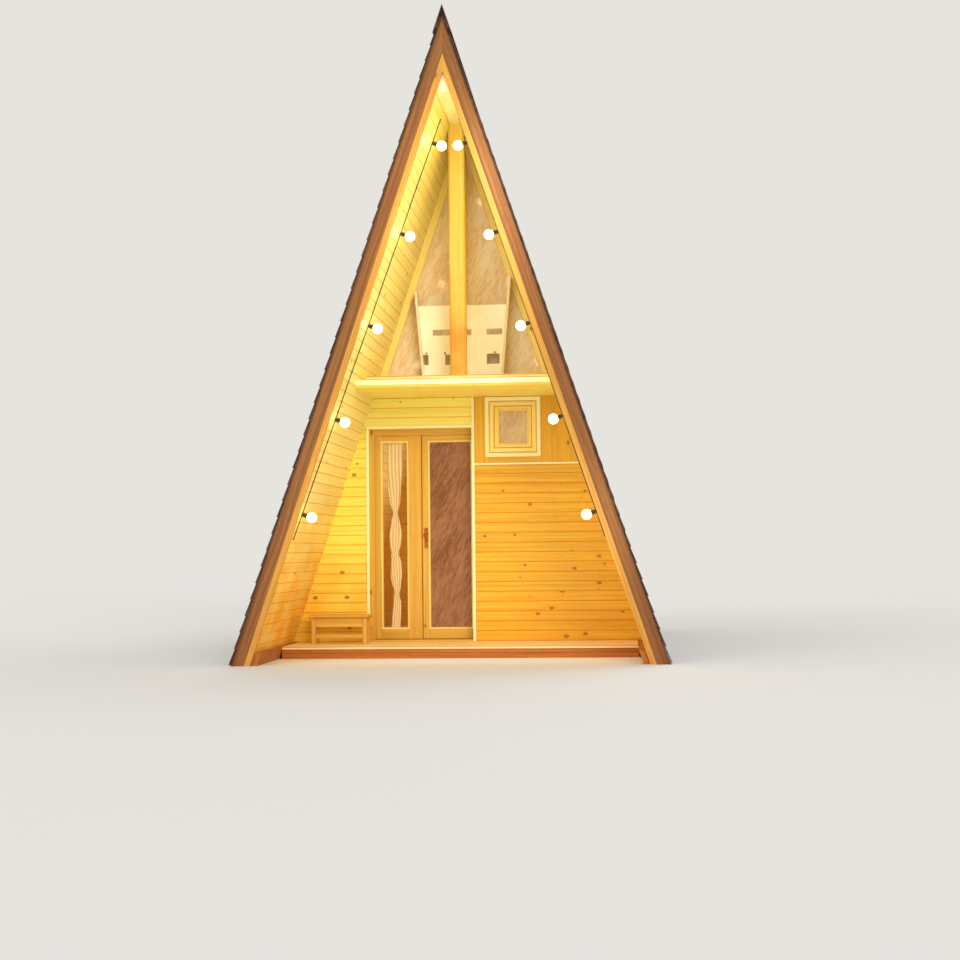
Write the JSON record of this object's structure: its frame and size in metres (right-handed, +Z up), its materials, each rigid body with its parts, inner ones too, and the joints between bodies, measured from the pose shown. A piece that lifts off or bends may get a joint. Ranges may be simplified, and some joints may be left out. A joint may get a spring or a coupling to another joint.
{
  "type": "a-frame cabin",
  "caption": "Small timber A-frame cabin: roof to the ground, open porch, glazed double door, ledge, centre post, cut-out guard, glazed gable and lamps along the roof edge.",
  "frame": {"origin": "centre of the cabin's footprint on the ground, under the middle of its length", "axes": "+X to the right seen from the front, -Y towards the porch and double door, +Z up"},
  "size_m": [4.06, 6.5, 6.0862],
  "materials": {
    "roofing": "dark stained timber shingles, dull",
    "dark_timber": "dark reddish brown stain, weathered",
    "framing": "plain sawn softwood",
    "pine_boards": "golden varnished pine, satin",
    "pine_trim": "light varnished pine, satin",
    "pine_joinery": "varnished pine joinery, semi-gloss",
    "white_paint": "cream paint, eggshell",
    "dark_glass": "clear glass in front of an unlit room",
    "handle_bronze": "darkened bronze, satin",
    "curtain_cloth": "thin cream cloth",
    "black_cable": "matt black cable and holders",
    "lamp_glass": "warm white lit globe"
  },
  "bodies": {
    "root": {"left_roof_cover": "roofing", "right_roof_cover": "roofing", "left_roof_panel": "framing", "right_roof_panel": "framing", "left_roof_lining": "pine_boards", "right_roof_lining": "pine_boards", "ridge_cap": "dark_timber", "ridge_beam": "pine_trim", "left_front_barge": "dark_timber", "right_front_barge": "dark_timber", "left_front_trim": "pine_trim", "right_front_trim": "pine_trim", "rear_barge": "dark_timber", "base_sills": "dark_timber", "ground_floor": "framing", "porch_frame": "dark_timber", "porch_deck": "pine_boards", "front_wall_left": "pine_boards", "front_wall_over_door": "pine_boards", "front_wall_right": "pine_boards", "front_wall_window": "pine_boards", "wall_trim": "pine_trim", "door_frame": "pine_joinery", "door_hinges": "handle_bronze", "window_frame": "pine_joinery", "window_glass": "dark_glass", "loft_floor": "framing", "ledge": "pine_boards", "ledge_fascia": "pine_trim", "balcony_deck": "pine_trim", "centre_post": "pine_joinery", "guard_panel": "white_paint", "guard_wings": "white_paint", "gable_frame": "pine_trim", "gable_glass": "dark_glass", "rear_wall": "pine_boards", "rear_window_frame": "pine_joinery", "rear_window_glass": "dark_glass", "light_string": "black_cable", "lamp_bulbs": "lamp_glass", "porch_bench": "pine_joinery"},
    "left_leaf": {"left_door_leaf": "pine_joinery", "left_door_glass": "dark_glass", "left_door_ironwork": "handle_bronze", "door_curtain": "curtain_cloth"},
    "right_leaf": {"right_door_leaf": "pine_joinery", "right_door_glass": "dark_glass", "right_door_ironwork": "handle_bronze"}
  },
  "joints": [
    {"name": "left_door_hinge", "type": "hinge", "parent": "root", "child": "left_leaf", "pos_m": [-0.97326, -1.147, 1.1], "axis": [0, 0, 1], "range_deg": [0, 95]},
    {"name": "right_door_hinge", "type": "hinge", "parent": "root", "child": "right_leaf", "pos_m": [0.10774, -1.147, 1.1], "axis": [0, 0, -1], "range_deg": [0, 95]}
  ]
}
